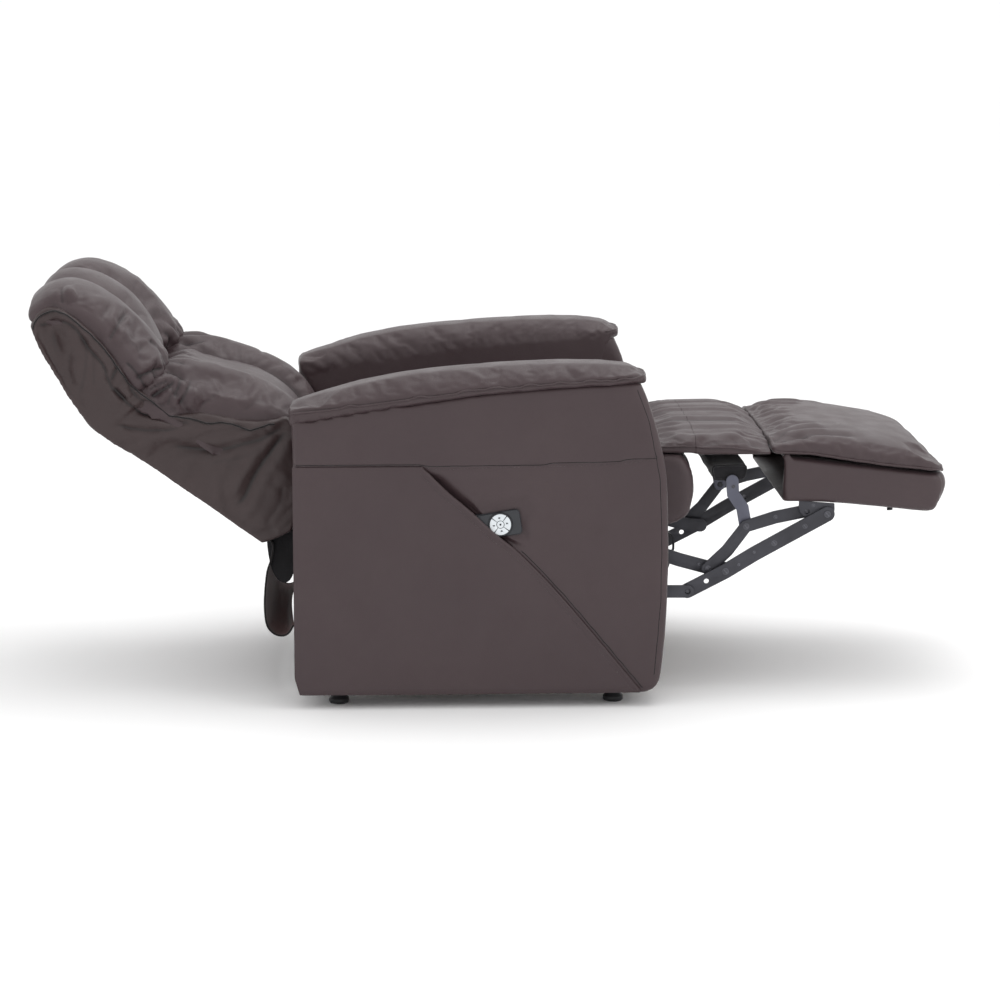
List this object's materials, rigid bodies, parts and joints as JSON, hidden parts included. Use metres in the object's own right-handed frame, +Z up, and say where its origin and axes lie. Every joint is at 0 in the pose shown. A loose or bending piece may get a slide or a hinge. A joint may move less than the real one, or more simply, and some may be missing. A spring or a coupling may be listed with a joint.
{
  "type": "recliner armchair",
  "caption": "Power recliner armchair with padded arms, tilting back and headrest, and a linkage footrest shown extended.",
  "frame": {"origin": "on the floor under the middle of the chair's bounding box at rest, which is fully reclined with the footrest out", "axes": "+Z up, the sitter faces -Y, +X is the sitter's left"},
  "size_m": [0.808, 1.7179, 0.7711],
  "materials": {
    "leather": "semi-matte dark aubergine brown leather",
    "lining": "dark red brown lining cloth",
    "link_steel": "satin charcoal powder coat",
    "frame_steel": "satin black paint",
    "flap_wrap": "black non-woven cloth",
    "black_plastic": "fine moulded texture",
    "handset_plastic": "charcoal satin plastic",
    "key_plastic": "off-white satin plastic",
    "board": "raw plywood"
  },
  "bodies": {
    "base": {"arm_right": "leather", "arm_left": "leather", "side_cover_right": "leather", "side_cover_left": "leather", "arm_pad_right": "leather", "arm_pad_left": "leather", "glide_rail_right": "frame_steel", "glide_rail_left": "frame_steel", "foot_front_right": "black_plastic", "foot_rear_right": "black_plastic", "foot_front_left": "black_plastic", "foot_rear_left": "black_plastic", "base_tube_front": "frame_steel", "base_tube_rear": "frame_steel", "control_box": "black_plastic", "handset_case": "handset_plastic", "handset_ring": "key_plastic"},
    "seat": {"seat_plate_right": "frame_steel", "seat_plate_left": "frame_steel", "seat_tube_front": "frame_steel", "seat_tube_middle": "frame_steel", "seat_tube_rear": "frame_steel", "seat_deck": "board", "seat_cushion": "leather", "seat_front_roll": "leather", "footrest_motor": "black_plastic", "recline_motor": "black_plastic"},
    "back": {"back_panel": "leather", "lumbar_cushion": "leather", "back_torque_tube": "frame_steel", "rear_skirt": "lining", "back_bracket_right": "link_steel", "back_bracket_left": "link_steel"},
    "headrest": {"headrest_shell": "leather", "headrest_cushion": "leather"},
    "drive_links": {"drive_link_right": "link_steel", "drive_link_left": "link_steel", "drive_tube": "link_steel"},
    "long_links": {"long_link_right": "link_steel", "long_link_left": "link_steel"},
    "lower_links": {"lower_link_right": "link_steel", "lower_link_left": "link_steel"},
    "lift_links": {"lift_link_right": "link_steel", "lift_link_left": "link_steel"},
    "flap": {"flap_link_right": "link_steel", "flap_link_left": "link_steel", "flap_board": "flap_wrap"},
    "footrest": {"footrest_box": "leather", "footrest_pad": "leather", "footrest_bracket_right": "link_steel", "footrest_bracket_left": "link_steel"},
    "middle_rear": {"middle_pad_rear": "leather"},
    "middle_front": {"middle_pad_front": "leather"},
    "footrest_rod": {"footrest_motor_rod": "frame_steel"},
    "recline_rod": {"recline_motor_rod": "frame_steel"},
    "stop_key": {"key_stop": "key_plastic"},
    "back_up_key": {"key_back_up": "key_plastic"},
    "back_down_key": {"key_back_down": "key_plastic"},
    "legs_up_key": {"key_legs_up": "key_plastic"},
    "legs_down_key": {"key_legs_down": "key_plastic"}
  },
  "joints": [
    {"name": "seat_glide", "type": "slide", "parent": "base", "child": "seat", "axis": [0, 0.9929, -0.1191], "range_m": [0, 0.1]},
    {"name": "back_recline", "type": "hinge", "parent": "seat", "child": "back", "pos_m": [0, 0.2249, 0.23], "axis": [1, 0, 0], "range_deg": [0, 42.02]},
    {"name": "headrest_tilt", "type": "hinge", "parent": "back", "child": "headrest", "pos_m": [0, 0.75041, 0.52033], "axis": [1, 0, 0], "range_deg": [-26, 0]},
    {"name": "footrest_fold", "type": "hinge", "parent": "seat", "child": "drive_links", "pos_m": [0, -0.314, 0.257], "axis": [1, 0, 0], "range_deg": [0, 115.59]},
    {"name": "long_link_pivot", "type": "hinge", "parent": "drive_links", "child": "long_links", "pos_m": [0, -0.4411, 0.225], "axis": [1, 0, 0], "range_deg": [-126.02, 0]},
    {"name": "lower_link_pivot", "type": "hinge", "parent": "seat", "child": "lower_links", "pos_m": [0, -0.2509, 0.189], "axis": [1, 0, 0], "range_deg": [0, 135.43]},
    {"name": "lift_link_pivot", "type": "hinge", "parent": "drive_links", "child": "lift_links", "pos_m": [0, -0.4091, 0.228], "axis": [1, 0, 0], "range_deg": [-129.93, 0]},
    {"name": "flap_link_pivot", "type": "hinge", "parent": "lift_links", "child": "flap", "pos_m": [0, -0.4806, 0.309], "axis": [1, 0, 0], "range_deg": [0, 98.35]},
    {"name": "footrest_pivot", "type": "hinge", "parent": "long_links", "child": "footrest", "pos_m": [0, -0.6331, 0.334], "axis": [1, 0, 0], "range_deg": [0, 94.94]},
    {"name": "middle_pad_hinge", "type": "hinge", "parent": "seat", "child": "middle_rear", "pos_m": [0, -0.3801, 0.455], "axis": [1, 0, 0], "range_deg": [0, 39.6]},
    {"name": "middle_pad_fold", "type": "hinge", "parent": "middle_rear", "child": "middle_front", "pos_m": [0, -0.4516, 0.4525], "axis": [1, 0, 0], "range_deg": [-50.59, 0]},
    {"name": "footrest_motor_stroke", "type": "slide", "parent": "seat", "child": "footrest_rod", "axis": [0, 1, 0], "range_m": [0, 0.08462]},
    {"name": "recline_motor_stroke", "type": "slide", "parent": "seat", "child": "recline_rod", "axis": [0, 1, 0], "range_m": [0, 0.07162]},
    {"name": "stop_press", "type": "slide", "parent": "base", "child": "stop_key", "axis": [0.9986, -0.0517, 0.0082], "range_m": [0, 0.0008], "stiffness_N_per_m": 600, "springref_m": -0.0005},
    {"name": "back_up_press", "type": "slide", "parent": "base", "child": "back_up_key", "axis": [0.9986, -0.0517, 0.0082], "range_m": [0, 0.0008], "stiffness_N_per_m": 600, "springref_m": -0.0005},
    {"name": "back_down_press", "type": "slide", "parent": "base", "child": "back_down_key", "axis": [0.9986, -0.0517, 0.0082], "range_m": [0, 0.0008], "stiffness_N_per_m": 600, "springref_m": -0.0005},
    {"name": "legs_up_press", "type": "slide", "parent": "base", "child": "legs_up_key", "axis": [0.9986, -0.0517, 0.0082], "range_m": [0, 0.0008], "stiffness_N_per_m": 600, "springref_m": -0.0005},
    {"name": "legs_down_press", "type": "slide", "parent": "base", "child": "legs_down_key", "axis": [0.9986, -0.0517, 0.0082], "range_m": [0, 0.0008], "stiffness_N_per_m": 600, "springref_m": -0.0005}
  ],
  "couplings": [
    {"joint": "back_recline", "follows": "seat_glide", "rad_per_m": 7.3304},
    {"joint": "recline_motor_stroke", "follows": "seat_glide", "ratio": 0.716},
    {"joint": "long_link_pivot", "follows": "footrest_fold", "ratio": -1.0901},
    {"joint": "lower_link_pivot", "follows": "footrest_fold", "ratio": 1.1715},
    {"joint": "lift_link_pivot", "follows": "footrest_fold", "ratio": -1.124},
    {"joint": "footrest_motor_stroke", "follows": "footrest_fold", "m_per_rad": 0.041936},
    {"joint": "flap_link_pivot", "follows": "footrest_fold", "ratio": 0.85067},
    {"joint": "footrest_pivot", "follows": "footrest_fold", "ratio": 0.82117},
    {"joint": "middle_pad_hinge", "follows": "footrest_fold", "ratio": 0.34241},
    {"joint": "middle_pad_fold", "follows": "footrest_fold", "ratio": -0.43755}
  ]
}
